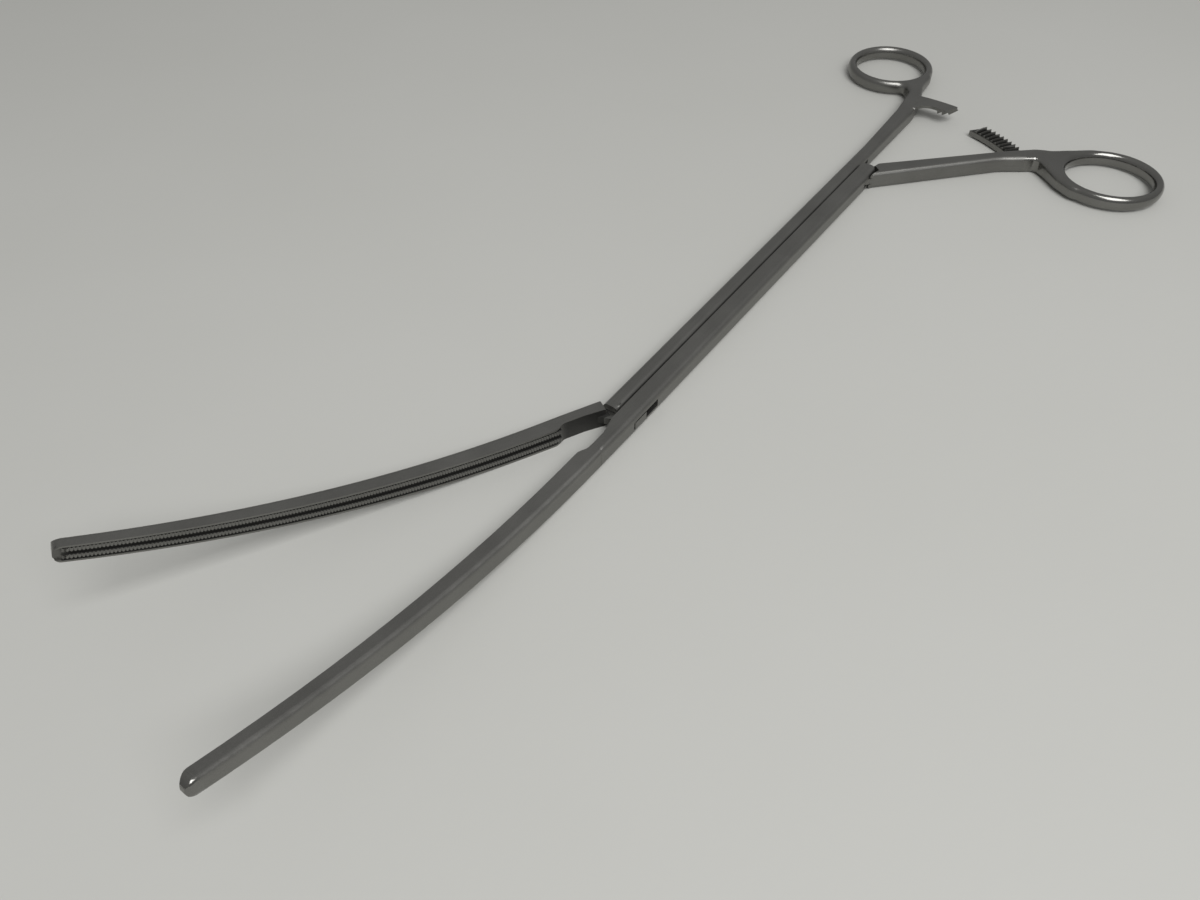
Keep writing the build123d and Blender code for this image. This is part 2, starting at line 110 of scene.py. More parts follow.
# %% Helpers for nodes
def add(tree, kind, inputs=None, **settings):
    """Adds a node of that kind, sets its settings, then fills or links each input that is given."""
    node = tree.nodes.new(kind)
    for key, value in settings.items():
        setattr(node, key, value)
    for key, value in (inputs or {}).items():
        if isinstance(value, bpy.types.NodeSocket):
            tree.links.new(value, node.inputs[key])
        else:
            node.inputs[key].default_value = value
    return node


def maths(tree, operation, first, second=0.0, third=None):
    """One step of arithmetic. Returns the socket that holds the result."""
    values = {0: first, 1: second}
    if third is not None:
        values[2] = third
    return add(tree, "ShaderNodeMath", values, operation=operation).outputs[0]


def smooth_between(tree, value, low, high, start=0.0, end=1.0):
    """start below low, end above high, and smooth between: the share is t^2 (3 - 2t), where t = (v - low) /
    (high - low)."""
    inputs = {"Value": value, "From Min": low, "From Max": high, "To Min": start, "To Max": end}
    return add(tree, "ShaderNodeMapRange", inputs, interpolation_type="SMOOTHSTEP").outputs["Result"]


def mix_colours(tree, first, second, share):
    """first + (second - first) * share, with the share held between 0 and 1."""
    inputs = {0: share, 6: first, 7: second}
    return add(tree, "ShaderNodeMix", inputs, data_type="RGBA", clamp_factor=True).outputs[2]


def new_group(name, inputs, outputs):
    """A shader node group with named sockets. Returns its tree, its input node and its output node."""
    tree = bpy.data.node_groups.new(name, "ShaderNodeTree")
    for direction, sockets in (("INPUT", inputs), ("OUTPUT", outputs)):
        for socket_name, (kind, value) in sockets.items():
            kind = "NodeSocket" + kind
            socket = tree.interface.new_socket(socket_name, in_out=direction, socket_type=kind)
            if value is not None:
                socket.default_value = value
    return tree, tree.nodes.new("NodeGroupInput"), tree.nodes.new("NodeGroupOutput")


print("helpers ready")

# %% [markdown]
# ## Satin grain
# Surgical steel is brushed or blasted after grinding so that it doesn't dazzle under a theatre lamp. Close
# up it shows long faint lines from the belt, a fine even speckle from the blasting, and soft clouds where
# hands and cloths have been. One picture of all that would tile and blur, so each layer is a noise of its
# own size: the belt lines are a noise whose coordinates are squeezed along the bar, which draws it out into
# streaks.

# %% Node group: satin grain
def centred_noise(tree, place, scale, detail):
    """A noise of that scale, less a half, so that it swings about nothing."""
    noise = add(tree, "ShaderNodeTexNoise", {"Vector": place, "Scale": scale, "Detail": detail})
    return maths(tree, "SUBTRACT", noise.outputs[0], 0.5)


def make_satin_grain():
    """Color = dark + (light - dark) * (0.5 + streaks + speckle + clouds), each of the three centred on
    nothing. Roughness = base + 0.12 * clouds + 0.08 * streaks. Height = streaks + speckle, in parts of
    one."""
    tree, given, out = new_group(
        "satin_grain",
        {
            "Vector": ("Vector", None),
            "Dark": ("Color", (0.30, 0.30, 0.29, 1.0)),
            "Light": ("Color", (0.42, 0.42, 0.41, 1.0)),
            "Roughness": ("Float", 0.36),
            "Streaks": ("Float", 0.5),
        },
        {"Color": ("Color", None), "Roughness": ("Float", None), "Height": ("Float", None)},
    )
    place = given.outputs["Vector"]
    drawn_out = add(tree, "ShaderNodeMapping", {"Vector": place, "Scale": (0.035, 1.0, 1.0)}).outputs[0]
    lines = centred_noise(tree, drawn_out, 5200.0, 3.0)
    lines = maths(tree, "MULTIPLY", lines, given.outputs["Streaks"])
    speckle = maths(tree, "MULTIPLY", centred_noise(tree, place, 7000.0, 2.0), 1.5)
    clouds = centred_noise(tree, place, 85.0, 4.0)
    fine = maths(tree, "ADD", lines, speckle)
    tone = maths(tree, "ADD", maths(tree, "ADD", fine, 0.5), clouds)
    mixed = mix_colours(tree, given.outputs["Dark"], given.outputs["Light"], tone)
    rough = maths(tree, "MULTIPLY_ADD", clouds, 0.12, given.outputs["Roughness"])
    rough = maths(tree, "MULTIPLY_ADD", lines, 0.08, rough)
    tree.links.new(mixed, out.inputs["Color"])
    tree.links.new(rough, out.inputs["Roughness"])
    tree.links.new(fine, out.inputs["Height"])
    return tree


satin_grain = make_satin_grain()
print("satin grain:", len(satin_grain.nodes), "nodes")

# %% [markdown]
# ## Polished places
# The maker buffs what a finger or a vessel touches: the finger rings, the hollow behind each ring and the
# blunt tips of the jaws. There the roughness drops and the lines fade. A ball-shaped mask round a point is
# enough, because the buffing has no sharp border: it is one inside the ball and falls smoothly to nothing
# at its reach.

# %% Node group: polished place
def make_polished_place():
    """Mask = 1 while d / reach is under 1 - edge, 0 from d = reach on, and smooth between, d being the
    distance to the centre."""
    tree, given, out = new_group(
        "polished_place",
        {
            "Vector": ("Vector", None),
            "Centre": ("Vector", (0.0, 0.0, 0.0)),
            "Reach": ("Float", 0.01),
            "Edge": ("Float", 0.4),
        },
        {"Mask": ("Float", None)},
    )
    ends = {0: given.outputs["Vector"], 1: given.outputs["Centre"]}
    apart = add(tree, "ShaderNodeVectorMath", ends, operation="DISTANCE").outputs["Value"]
    share = maths(tree, "DIVIDE", apart, given.outputs["Reach"])
    start = maths(tree, "SUBTRACT", 1.0, given.outputs["Edge"])
    tree.links.new(smooth_between(tree, share, start, 1.0, 1.0, 0.0), out.inputs["Mask"])
    return tree


polished_place = make_polished_place()
print("polished place:", len(polished_place.nodes), "nodes")

# %% [markdown]
# ## Grooved working face
# The moving jaw's face has two rows of teeth between three grooves. The grooves are painted darker: partly
# the dark skin from the furnace that nothing polishes off, partly painted shade for the shade that falls
# into them.
# The mask has to follow the curved jaw: the jaw's long edges are circles about one centre high above the
# table, so the distance to that centre tells how high up the face a point lies, and the distance to the
# plane where the jaws meet tells how deep it lies. The hollow between the pin and the first tooth is dull
# too, and gets painted shade from a second mask.

# %% Node group: groove shade
JAW_RUN = JAW_END - JAW_CURVE_START
JAW_RADIUS = (JAW_RUN**2 + JAW_TIP_LIFT**2) / (2 * JAW_TIP_LIFT)
JAW_TAPER = 0.24
FACE_BEGINS = (12.0 * MM, 14.0 * MM)
FACE_ENDS = (107.5 * MM, 109.5 * MM)
HOLLOW_ENDS = (12.0 * MM, 15.5 * MM)


def within(tree, value, low, high):
    """1 between low and high, otherwise 0."""
    over = maths(tree, "GREATER_THAN", value, low)
    return maths(tree, "MULTIPLY", over, maths(tree, "LESS_THAN", value, high))


def height_on_jaw(tree, x, z):
    """Past the start of the curve up = R - |(x - start, z - R)|, and before it up = z. Divided by the jaw's
    taper 1 - 0.24 s^2, with s the share of the arc, so that the two rims of the face keep one height all
    along."""
    along = maths(tree, "MAXIMUM", maths(tree, "SUBTRACT", x, JAW_CURVE_START), 0.0)
    down = maths(tree, "SUBTRACT", JAW_RADIUS, z)
    squares = maths(tree, "ADD", maths(tree, "POWER", along, 2.0), maths(tree, "POWER", down, 2.0))
    up = maths(tree, "SUBTRACT", JAW_RADIUS, maths(tree, "SQRT", squares))
    share = maths(tree, "DIVIDE", maths(tree, "ARCTAN2", along, down), asin(JAW_RUN / JAW_RADIUS))
    taper = maths(tree, "MULTIPLY_ADD", maths(tree, "POWER", share, 2.0), -JAW_TAPER, 1.0)
    return maths(tree, "DIVIDE", up, taper)


def make_groove_shade():
    """For a point of the shut jaw, with depth = -y: Mask = (bottom rim < height < top rim) * (depth under
    0.8 mm) * smooth(depth from 0.24 mm to Deep) * smooth(x past the first tooth), less near the tip. Hollow
    = (depth from 0 to 1.5 mm) * (z from 0.1 to 5 mm) * (x from 2.2 mm, fading out at the first tooth)."""
    tree, given, out = new_group(
        "groove_shade",
        {
            "Vector": ("Vector", None),
            "Deep": ("Float", 0.62 * MM),
            "Bottom": ("Float", 0.5 * MM),
            "Top": ("Float", 4.6 * MM),
        },
        {"Mask": ("Float", None), "Hollow": ("Float", None)},
    )
    x, y, z = add(tree, "ShaderNodeSeparateXYZ", {0: given.outputs["Vector"]}).outputs
    depth = maths(tree, "MULTIPLY", y, -1.0)
    on_face = within(tree, height_on_jaw(tree, x, z), given.outputs["Bottom"], given.outputs["Top"])
    deep = smooth_between(tree, depth, 0.24 * MM, given.outputs["Deep"])
    near_face = maths(tree, "LESS_THAN", depth, 0.8 * MM)
    begun = smooth_between(tree, x, *FACE_BEGINS)
    begun = maths(tree, "MULTIPLY", begun, smooth_between(tree, x, *FACE_ENDS, 1.0, 0.35))
    mask = maths(tree, "MULTIPLY", on_face, maths(tree, "MULTIPLY", deep, begun))
    tree.links.new(maths(tree, "MULTIPLY", mask, near_face), out.inputs["Mask"])
    inside = within(tree, y, -1.5 * MM, 0.0)
    in_height = within(tree, z, 0.1 * MM, 5.0 * MM)
    before = smooth_between(tree, x, *HOLLOW_ENDS, 1.0, 0.0)
    before = maths(tree, "MULTIPLY", before, maths(tree, "GREATER_THAN", x, 2.2 * MM))
    hollow = maths(tree, "MULTIPLY", maths(tree, "MULTIPLY", inside, in_height), before)
    tree.links.new(hollow, out.inputs["Hollow"])
    return tree


groove_shade = make_groove_shade()
print("the jaws curve with a radius of", round(JAW_RADIUS / MM), "mm")

# %% [markdown]
# ## The steel
# Every steel piece has the same make-up, so one function builds it: object coordinates, turned so that the
# belt lines run along the piece, then the grain, then the polished places taken off the roughness and off
# the bump. The grooves and the gaps between the catch teeth are darkened last, with painted shade for the
# shade that falls in them. The shader itself stays here in the material, and its metallic value is a plain
# number on its own socket.

# %% Painted shade in the grooves and between the catch teeth
# colours of the painted shade: the grooves' darkest colour and the colour between the catch teeth
PAINTED_GROOVE_SHADE = (0.012, 0.012, 0.012, 1.0)
PAINTED_TEETH_SHADE = (0.04, 0.04, 0.038, 1.0)


def shade_grooves(tree, laid, colour, roughness):
    """Darkens by 0.85 * max(Mask, 0.75 * Hollow) and roughens by a quarter of that maximum."""
    face = add(tree, "ShaderNodeGroup", {"Vector": laid}, node_tree=groove_shade).outputs
    # painted shade: the grooves and the hollow are darkened where shade falls in them, on top of the
    # grooves' own dark furnace skin
    shade = maths(tree, "MAXIMUM", face["Mask"], maths(tree, "MULTIPLY", face["Hollow"], 0.75))
    colour = mix_colours(tree, colour, PAINTED_GROOVE_SHADE, maths(tree, "MULTIPLY", shade, 0.85))
    return colour, maths(tree, "MULTIPLY_ADD", shade, 0.25, roughness)


def shade_teeth(tree, place, colour, centre, reach, low, high, fade):
    """Darkens by 0.78 near the centre where z is over low, fading out to nothing from high - fade to
    high."""
    inputs = {"Vector": place, "Centre": centre, "Reach": reach, "Edge": 0.2}
    near = add(tree, "ShaderNodeGroup", inputs, node_tree=polished_place).outputs["Mask"]
    z = add(tree, "ShaderNodeSeparateXYZ", {0: place}).outputs[2]
    under_crest = smooth_between(tree, z, high - fade, high, 1.0, 0.0)
    under_crest = maths(tree, "MULTIPLY", maths(tree, "GREATER_THAN", z, low), under_crest)
    # painted shade: below the crests the teeth are darkened where shade falls between them
    shade = maths(tree, "MULTIPLY", under_crest, near)
    return mix_colours(tree, colour, PAINTED_TEETH_SHADE, maths(tree, "MULTIPLY", shade, 0.78))


print("grooves and teeth can be shaded")

# %% Steel material
def steel_tint(level):
    """A faintly warm grey."""
    return (level, level * 0.99, level * 0.94, 1.0)


def steel(name, turned=0.0, about=(0.0, 0.0), dark=0.185, light=0.26, rough=0.42, streaks=0.5,
          polished=(), grooves=False, teeth=None):
    """turned is the angle of the piece's length from +X, about the point about. polished lists (centre,
    reach, share): the roughness and the bump are multiplied by 1 - share * mask there."""
    material = bpy.data.materials.new(name)
    material.use_nodes = True
    tree = material.node_tree
    shader = tree.nodes["Principled BSDF"]
    shader.inputs["Metallic"].default_value = 1.0
    place = add(tree, "ShaderNodeTexCoord").outputs["Object"]
    there = {"Vector": place, "Location": (-about[0], -about[1], 0.0)}
    moved = add(tree, "ShaderNodeMapping", there).outputs[0]
    back = {"Vector": moved, "Rotation": (0.0, 0.0, -turned), "Location": (about[0], about[1], 0.0)}
    laid = add(tree, "ShaderNodeMapping", back).outputs[0]
    look = {"Dark": steel_tint(dark), "Light": steel_tint(light), "Roughness": rough, "Streaks": streaks}
    grain = add(tree, "ShaderNodeGroup", {"Vector": laid, **look}, node_tree=satin_grain).outputs
    colour, roughness, height = grain["Color"], grain["Roughness"], grain["Height"]
    for centre, reach, share in polished:
        inputs = {"Vector": place, "Centre": centre, "Reach": reach}
        mask = add(tree, "ShaderNodeGroup", inputs, node_tree=polished_place).outputs["Mask"]
        left = maths(tree, "SUBTRACT", 1.0, maths(tree, "MULTIPLY", mask, share))
        roughness = maths(tree, "MULTIPLY", roughness, left)
        height = maths(tree, "MULTIPLY", height, left)
    if grooves:
        colour, roughness = shade_grooves(tree, laid, colour, roughness)
    if teeth:
        colour = shade_teeth(tree, place, colour, **teeth)
    tree.links.new(colour, shader.inputs["Base Color"])
    tree.links.new(roughness, shader.inputs["Roughness"])
    bump = add(tree, "ShaderNodeBump", {"Height": height, "Strength": 0.35, "Distance": 0.00003})
    tree.links.new(bump.outputs["Normal"], shader.inputs["Normal"])
    return material


def dress(node_name, material):
    """Puts the material in every slot of the CAD node, which keeps its own mesh."""
    mesh = nodes[node_name].data
    if not mesh.materials:
        mesh.materials.append(material)
    for i in range(len(mesh.materials)):
        mesh.materials[i] = material


print("steel recipe ready")

# %% [markdown]
# ## Finishes of the eight pieces
# The bars and the jaws are satin all over apart from the tips. The rings are buffed: the one on the handle
# that moves shines most, and the hollow between its ring and its shank gives one bright dot. The pins are
# turned rather than ground, so they have hardly any streaks.

# %% Places that turn with a jaw
def opened(vector, pin=(0.0, 0.0)):
    """Turns a point of the shut moving jaw by the swing about its pin. A direction is turned about the
    origin."""
    c, s = np.cos(-JAW_SWING), np.sin(-JAW_SWING)
    x, y = vector[0] - pin[0], vector[1] - pin[1]
    return np.array([c * x - s * y + pin[0], s * x + c * y + pin[1], vector[2]])


TIP_POLISH_HEIGHT = 20.0 * MM
fixed_tip = (JAW_END, JAW_HALF_WIDTH, TIP_POLISH_HEIGHT)
moving_tip = tuple(opened((JAW_END, -JAW_HALF_WIDTH, TIP_POLISH_HEIGHT), JAW_PIN))
print("the moving jaw's tip is at", [round(float(v) / MM, 1) for v in moving_tip], "mm")

# %% Dress the pieces
RING_POLISH_HEIGHT = 2.6 * MM
DIMPLE = (-162.6 * MM, 42.4 * MM, 4.0 * MM)
# where the painted shade between the catch teeth goes
CATCH_TEETH = {
    "centre": (-168.0 * MM, 29.0 * MM, 2.4 * MM),
    "reach": 13.0 * MM,
    "low": 2.05 * MM,
    "high": 3.05 * MM,
    "fade": 0.95 * MM,
}

ring_1_polish = [((*RING_1, RING_POLISH_HEIGHT), 20 * MM, 0.35)]
ring_2_polish = [((*RING_2, RING_POLISH_HEIGHT), 21 * MM, 0.62), (DIMPLE, 5 * MM, 0.6)]
fixed_tip_polish = [(fixed_tip, 4.0 * MM, 0.65)]
moving_tip_polish = [(moving_tip, 3.0 * MM, 0.4)]

dress("ring_bar", steel("ring_bar_steel", polished=ring_1_polish))
dress("jaw_bar", steel("jaw_bar_steel", polished=fixed_tip_polish))
dress("moving_handle", steel("handle_steel", turned=HANDLE_LINES, about=RING_2, polished=ring_2_polish,
                             teeth=CATCH_TEETH))
dress("moving_jaw", steel("moving_jaw_steel", turned=-JAW_SWING, about=JAW_PIN, polished=moving_tip_polish,
                          grooves=True))
pin_steel = steel("pin_steel", dark=0.195, light=0.27, rough=0.38, streaks=0.1)
for pin in ("jaw_pin", "jaw_crank_pin", "handle_pin", "handle_crank_pin"):
    dress(pin, pin_steel)
print("materials:", ", ".join(m.name for m in bpy.data.materials if m.users))

# %% [markdown]
# ## Blended necks
# A real shank is drop-forged in one blow with its ring, so it runs into the ring in one soft sweep, with a
# dimple where the hammer's die was rounded. The CAD model joins the two with hard creases. Rounding such a
# crease by hand is slow, and a boolean followed by a bevel breaks on it. Instead the neck is written as one
# formula for the distance to its surface. Two outlines melt together when their distances are joined by a
# smooth minimum, and edges round off when the flat outline's distance and the height's distance meet in a
# circle.

# %% Distance formulas
def oval_distance(x, y, centre, angle, long_half, wide_half):
    """About the distance to an oval: (n - 1) * n / g, with n = |(u/a, v/b)| and g = |(u/a^2, v/b^2)|, where
    u and v are measured along the oval's own axes."""
    u = (x - centre[0]) * np.cos(angle) + (y - centre[1]) * np.sin(angle)
    v = (y - centre[1]) * np.cos(angle) - (x - centre[0]) * np.sin(angle)
    n = np.hypot(u / long_half, v / wide_half)
    g = np.hypot(u / long_half**2, v / wide_half**2) + 1e-9
    return (n - 1.0) * n / g


def polygon_distance(x, y, corners):
    """Distance to the nearest side, negative inside. A point is inside when its level crosses an odd count
    of sides on one side of it."""
    nearest = np.full(np.shape(x), 1e9)
    inside = np.zeros(np.shape(x), bool)
    for (ax, ay), (bx, by) in zip(corners, corners[1:] + corners[:1]):
        ex, ey, wx, wy = bx - ax, by - ay, x - ax, y - ay
        share = np.clip((wx * ex + wy * ey) / (ex**2 + ey**2), 0.0, 1.0)
        nearest = np.minimum(nearest, np.hypot(wx - ex * share, wy - ey * share))
        inside ^= ((ay <= y) != (by <= y)) & ((wx * ey - wy * ex) * ey < 0)
    return np.where(inside, -nearest, nearest)


def melt(first, second, radius):
    """Smooth minimum: min(a, b) - radius/4 * h^2, with h = max(1 - |a - b|/radius, 0). It fills the
    corner."""
    h = np.maximum(1.0 - np.abs(first - second) / radius, 0.0)
    return np.minimum(first, second) - h**2 * radius / 4.0


def eased(value, low, high):
    """0 below low, 1 above high, t^2 (3 - 2t) between."""
    t = np.clip((value - low) / (high - low), 0.0, 1.0)
    return t * t * (3.0 - 2.0 * t)


def blended(first, second, share):
    """first + (second - first) * share."""
    return first + (second - first) * share


print("distance formulas ready")

# %% [markdown]
# ## From a formula to a mesh
# Blender's voxel remesher would leave steps on the slanting sides, and steel shows every one. This mesher
# lays a grid of cubes over the space, puts one point in each cube that the surface passes through, joins
# the points of four neighbouring cubes wherever a cube edge is pierced, and then slides each point along
# the slope of the formula until it lies on the surface exactly.

# %% Points in the cubes
def cube_points(field):
    """One point for each cube that the surface passes through: the mean of where it pierces the cube's
    edges. Ends with the distances a and b are pierced at a / (a - b) of the way. Returns the points,
    counted in cubes, and each cube's number, with -1 where it has no point."""
    cells = tuple(n - 1 for n in field.shape)
    total, hits = np.zeros((*cells, 3)), np.zeros(cells)
    for axis in range(3):
        second, third = [k for k in range(3) if k != axis]
        for i, j in product((0, 1), repeat=2):
            start = [slice(0, n) for n in cells]
            start[second] = slice(i, cells[second] + i)
            start[third] = slice(j, cells[third] + j)
            end = list(start)
            end[axis] = slice(1, cells[axis] + 1)
            a, b = field[tuple(start)], field[tuple(end)]
            cut = (a < 0.0) != (b < 0.0)
            where = np.zeros((*cells, 3))
            where[..., second], where[..., third] = i, j
            where[..., axis] = np.where(cut, a / np.where(cut, a - b, 1.0), 0.0)
            total += where * cut[..., None]
            hits += cut
    active = hits > 0
    number = np.full(cells, -1)
    number[active] = np.arange(active.sum())
    return np.argwhere(active) + total[active] / hits[active][:, None], number


print("cube points ready")

# %% Faces between the cubes
def cube_quads(field, number):
    """One quad for each grid edge whose ends have distances of unlike sign. It joins the four cubes round
    that edge and is turned so that it faces out of the solid."""
    inner = field < 0.0
    cells = number.shape
    quads = []
    for axis in range(3):
        b, c = (axis + 1) % 3, (axis + 2) % 3
        near = [slice(1, n) for n in cells]
        near[axis] = slice(0, cells[axis])
        far = list(near)
        far[axis] = slice(1, cells[axis] + 1)
        first, second = inner[tuple(near)], inner[tuple(far)]
        at = np.argwhere(first != second)
        at[:, [b, c]] += 1
        outward = first[first != second]
        back_b, back_c = np.eye(3, dtype=int)[[b, c]]
        round_edge = (0 * back_b, back_b, back_b + back_c, back_c)
        quad = np.stack([number[tuple((at - s).T)] for s in round_edge], axis=-1)
        quads.append(np.where(outward[:, None], quad, quad[:, ::-1]))
    return np.concatenate(quads)


def settled(points, distance, step):
    """Slides the points onto the surface: p moves by -d * slope / |slope|^2, three times. The slope is
    measured over a fiftieth of a step to each side."""
    small = step * 0.02
    for _ in range(3):
        rises = [distance(*(points + e).T) - distance(*(points - e).T) for e in np.eye(3) * small]
        slope = np.stack(rises, axis=-1) / (2 * small)
        here = np.clip(distance(*points.T), -step, step)
        points = points - (here / (np.sum(slope**2, axis=-1) + 1e-9))[:, None] * slope
    return points


print("cube faces ready")

# %% Mesher
def surface_mesh(name, distance, low, high, step=0.3):
    """The surface where distance(x, y, z) is 0, in the box from low to high. The formula and the box are in
    millimetres and the mesh is in metres."""
    axes = [np.arange(a, b + step, step) for a, b in zip(low, high)]
    field = distance(*np.meshgrid(*axes, indexing="ij"))
    spots, number = cube_points(field)
    points = settled(spots * step + np.array([a[0] for a in axes]), distance, step)
    quads = cube_quads(field, number)
    mesh = bpy.data.meshes.new(name)
    mesh.vertices.add(len(points))
    mesh.vertices.foreach_set("co", (points * MM).ravel())
    mesh.loops.add(quads.size)
    mesh.loops.foreach_set("vertex_index", quads.ravel())
    mesh.polygons.add(len(quads))
    mesh.polygons.foreach_set("loop_start", np.arange(0, quads.size, 4))
    mesh.polygons.foreach_set("use_smooth", np.ones(len(quads), bool))
    mesh.update(calc_edges=True)
    mesh.validate()
    print(name, len(quads), "quads")
    return mesh


def mesh_from_both(name, first, second):
    """One mesh that holds the faces of two."""
    joined = bmesh.new()
    joined.from_mesh(first)
    joined.from_mesh(second)
    mesh = bpy.data.meshes.new(name)
    joined.to_mesh(mesh)
    joined.free()
    return mesh


print("mesher ready")

# %% [markdown]
# ## Worked copies
# Several places of the real clamp are ground after forging. Modelling such a piece anew would lose its
# teeth and its slots, so a merged copy of the CAD piece is worked instead: it is divided at a few planes,
# which gives it points to move, then the points are moved by a formula, and the copy takes the CAD piece's
# place. Its flat faces have to stay flat in the shading, which is what the weighted normals and the sharp
# edges see to.

# %% Worked copies
def parts_in_box(worked, low, high):
    """The faces whose own boxes touch the box from low to high, with their edges and corners."""
    def touches(face, k):
        values = [corner.co[k] for corner in face.verts]
        return min(values) <= high[k] and max(values) >= low[k]

    near = [face for face in worked.faces if touches(face, 0) and touches(face, 1) and touches(face, 2)]
    edges = dict.fromkeys(edge for face in near for edge in face.edges)
    corners = dict.fromkeys(corner for face in near for corner in face.verts)
    return near + list(edges) + list(corners)


def worked_copy(node_name, cuts, trims=()):
    """A merged copy of the CAD piece. Each cut is (point, normal, low corner, high corner): within that box
    the faces are divided where the plane meets them. A trim also takes away what lies past its plane, and
    closes the hole."""
    worked = bmesh.new()
    worked.from_mesh(nodes[node_name].data)
    bmesh.ops.remove_doubles(worked, verts=worked.verts, dist=1e-7)
    for number, (point, normal, low, high) in enumerate([*cuts, *trims]):
        trim = number >= len(cuts)
        made = bmesh.ops.bisect_plane(worked, geom=parts_in_box(worked, low, high), plane_co=point,
                                      plane_no=normal, dist=1e-8, clear_outer=trim)
        if trim:
            rim = [e for e in made["geom_cut"] if isinstance(e, bmesh.types.BMEdge)]
            bmesh.ops.triangle_fill(worked, edges=rim, use_beauty=True, normal=normal)
    bmesh.ops.triangulate(worked, faces=worked.faces)
    mesh = bpy.data.meshes.new(node_name + "_ground")
    worked.to_mesh(mesh)
    worked.free()
    return mesh


def points_of(mesh):
    """The mesh's points as rows of x, y and z."""
    points = np.empty(len(mesh.vertices) * 3)
    mesh.vertices.foreach_get("co", points)
    return points.reshape(-1, 3)


print("worked copies ready")

# %% Back in place
SHARP_FROM = radians(17)


def put_in_place(mesh, points, node_name, body):
    """Writes the points, smooths the shading across edges under 17 degrees, and takes the CAD piece's
    place."""
    mesh.vertices.foreach_set("co", points.ravel())
    worked = bmesh.new()
    worked.from_mesh(mesh)
    bmesh.ops.dissolve_degenerate(worked, dist=1e-6, edges=worked.edges)
    bmesh.ops.triangulate(worked, faces=worked.faces)
    worked.to_mesh(mesh)
    worked.free()
    mesh.polygons.foreach_set("use_smooth", np.ones(len(mesh.polygons), bool))
    mesh.set_sharp_from_angle(angle=SHARP_FROM)
    mesh.materials.clear()
    mesh.materials.append(nodes[node_name].data.materials[0])
    piece = bpy.data.objects.new(node_name + "_ground", mesh)
    flat = piece.modifiers.new("flat_faces_stay_flat", "WEIGHTED_NORMAL")
    flat.keep_sharp = True
    bpy.context.scene.collection.objects.link(piece)
    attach(piece, body)
    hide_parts(node_name)
    print(piece.name, len(mesh.polygons), "triangles")


print("pieces can be put in place")

# %% [markdown]
# ## Rounded tips
# On the real clamp a grinder rounds the jaws' ends like a finger tip, so that they don't scratch. A bevel
# on the end's edges would run into the teeth. Drawing the cross-section in towards its middle, ever faster
# towards the end, gives the same blunt tip and takes the teeth along with it.

# %% Tip formulas
TIP_SLOPE = asin(JAW_RUN / JAW_RADIUS)
TIP_LENGTH = 1.7 * MM
TIP_MIDDLE = 0.38 * BAR_HEIGHT


def round_tip(points, end, along, sideways=0.8, upper=0.8, lower=0.8):
    """Squeezes the cross-section towards its middle by sqrt(1 - k t^2), with t from 0 at the tip's length
    before the end to 1 at the end, and with a share k of its own across the jaw, above its middle and below
    it."""
    offset = points - end
    run = offset @ along
    across = offset - run[:, None] * along
    near = (np.linalg.norm(across, axis=1) < 6 * MM) & (run < 1 * MM)
    t = np.where(near, np.clip(1.0 + run / TIP_LENGTH, 0.0, 1.0), 0.0)
    upward = np.cross(along, (0.0, 0.0, 1.0))
    upward = np.cross(upward / np.linalg.norm(upward), along)
    up = across @ upward
    flat = (across - up[:, None] * upward) * np.sqrt(1.0 - sideways * t**2)[:, None]
    up = up * np.sqrt(1.0 - np.where(up > 0, upper, lower) * t**2)
    return end + run[:, None] * along + up[:, None] * upward + flat


def tip_frame(side):
    """The middle of a shut jaw's end face and the direction the jaw points in. side is 1 for the fixed
    jaw."""
    along = np.array([np.cos(TIP_SLOPE), 0.0, np.sin(TIP_SLOPE)])
    upward = np.array([-np.sin(TIP_SLOPE), 0.0, np.cos(TIP_SLOPE)])
    foot = np.array([JAW_END, side * JAW_HALF_WIDTH, JAW_TIP_LIFT])
    return foot + upward * TIP_MIDDLE, along


def tip_cuts(end, along):
    """Planes across the jaw at even steps of angle, so that the rounding gets even facets."""
    back = TIP_LENGTH * (1.0 - np.sin(np.linspace(0.0, 1.35, 8)))
    return [(end - along * b, along, end - 7 * MM, end + 7 * MM) for b in back]


fixed_end, fixed_along = tip_frame(1)
shut_end, shut_along = tip_frame(-1)
swung_end, swung_along = opened(shut_end, JAW_PIN), opened(shut_along)
print("the jaws' tips point up at", round(float(np.degrees(TIP_SLOPE)), 1), "degrees")

# %% [markdown]
# ## Flush head and level side
# The grinder also runs straight over the head round the handle's pin, which leaves it flush with the bar.
# And where the bar becomes the fixed jaw, its side is led over without a step. Both are small shifts of
# points: the head's points are held within the bar's rounded section, and the side's points keep their
# angle on a rounding that slowly shrinks.

# %% Side formulas
# These five are in millimetres, and level_side works in them.
JAW_ROOT = 12.5
SIDE_NARROWS = 0.25
LEVELLED = (1.0, 12.4)
LEVEL_SHIFT = 0.2
ROUND_SHRINKS = 0.3


def flush_head(points):
    """Near the handle's pin y is at most side - r + sqrt(r^2 - e^2), with e how far z is into the
    rounding."""
    into = np.maximum(np.abs(points[:, 2] - BAR_HEIGHT / 2) - (BAR_HEIGHT / 2 - SIDE_ROUND), 0.0)
    most = JAW_BAR_SIDE - SIDE_ROUND + np.sqrt(np.maximum(SIDE_ROUND**2 - into**2, 0.0))
    near = np.abs(points[:, 0] - HANDLE_PIN[0]) < 6 * MM
    moved = points.copy()
    moved[:, 1] = np.where(near, np.minimum(points[:, 1], most), points[:, 1])
    return moved


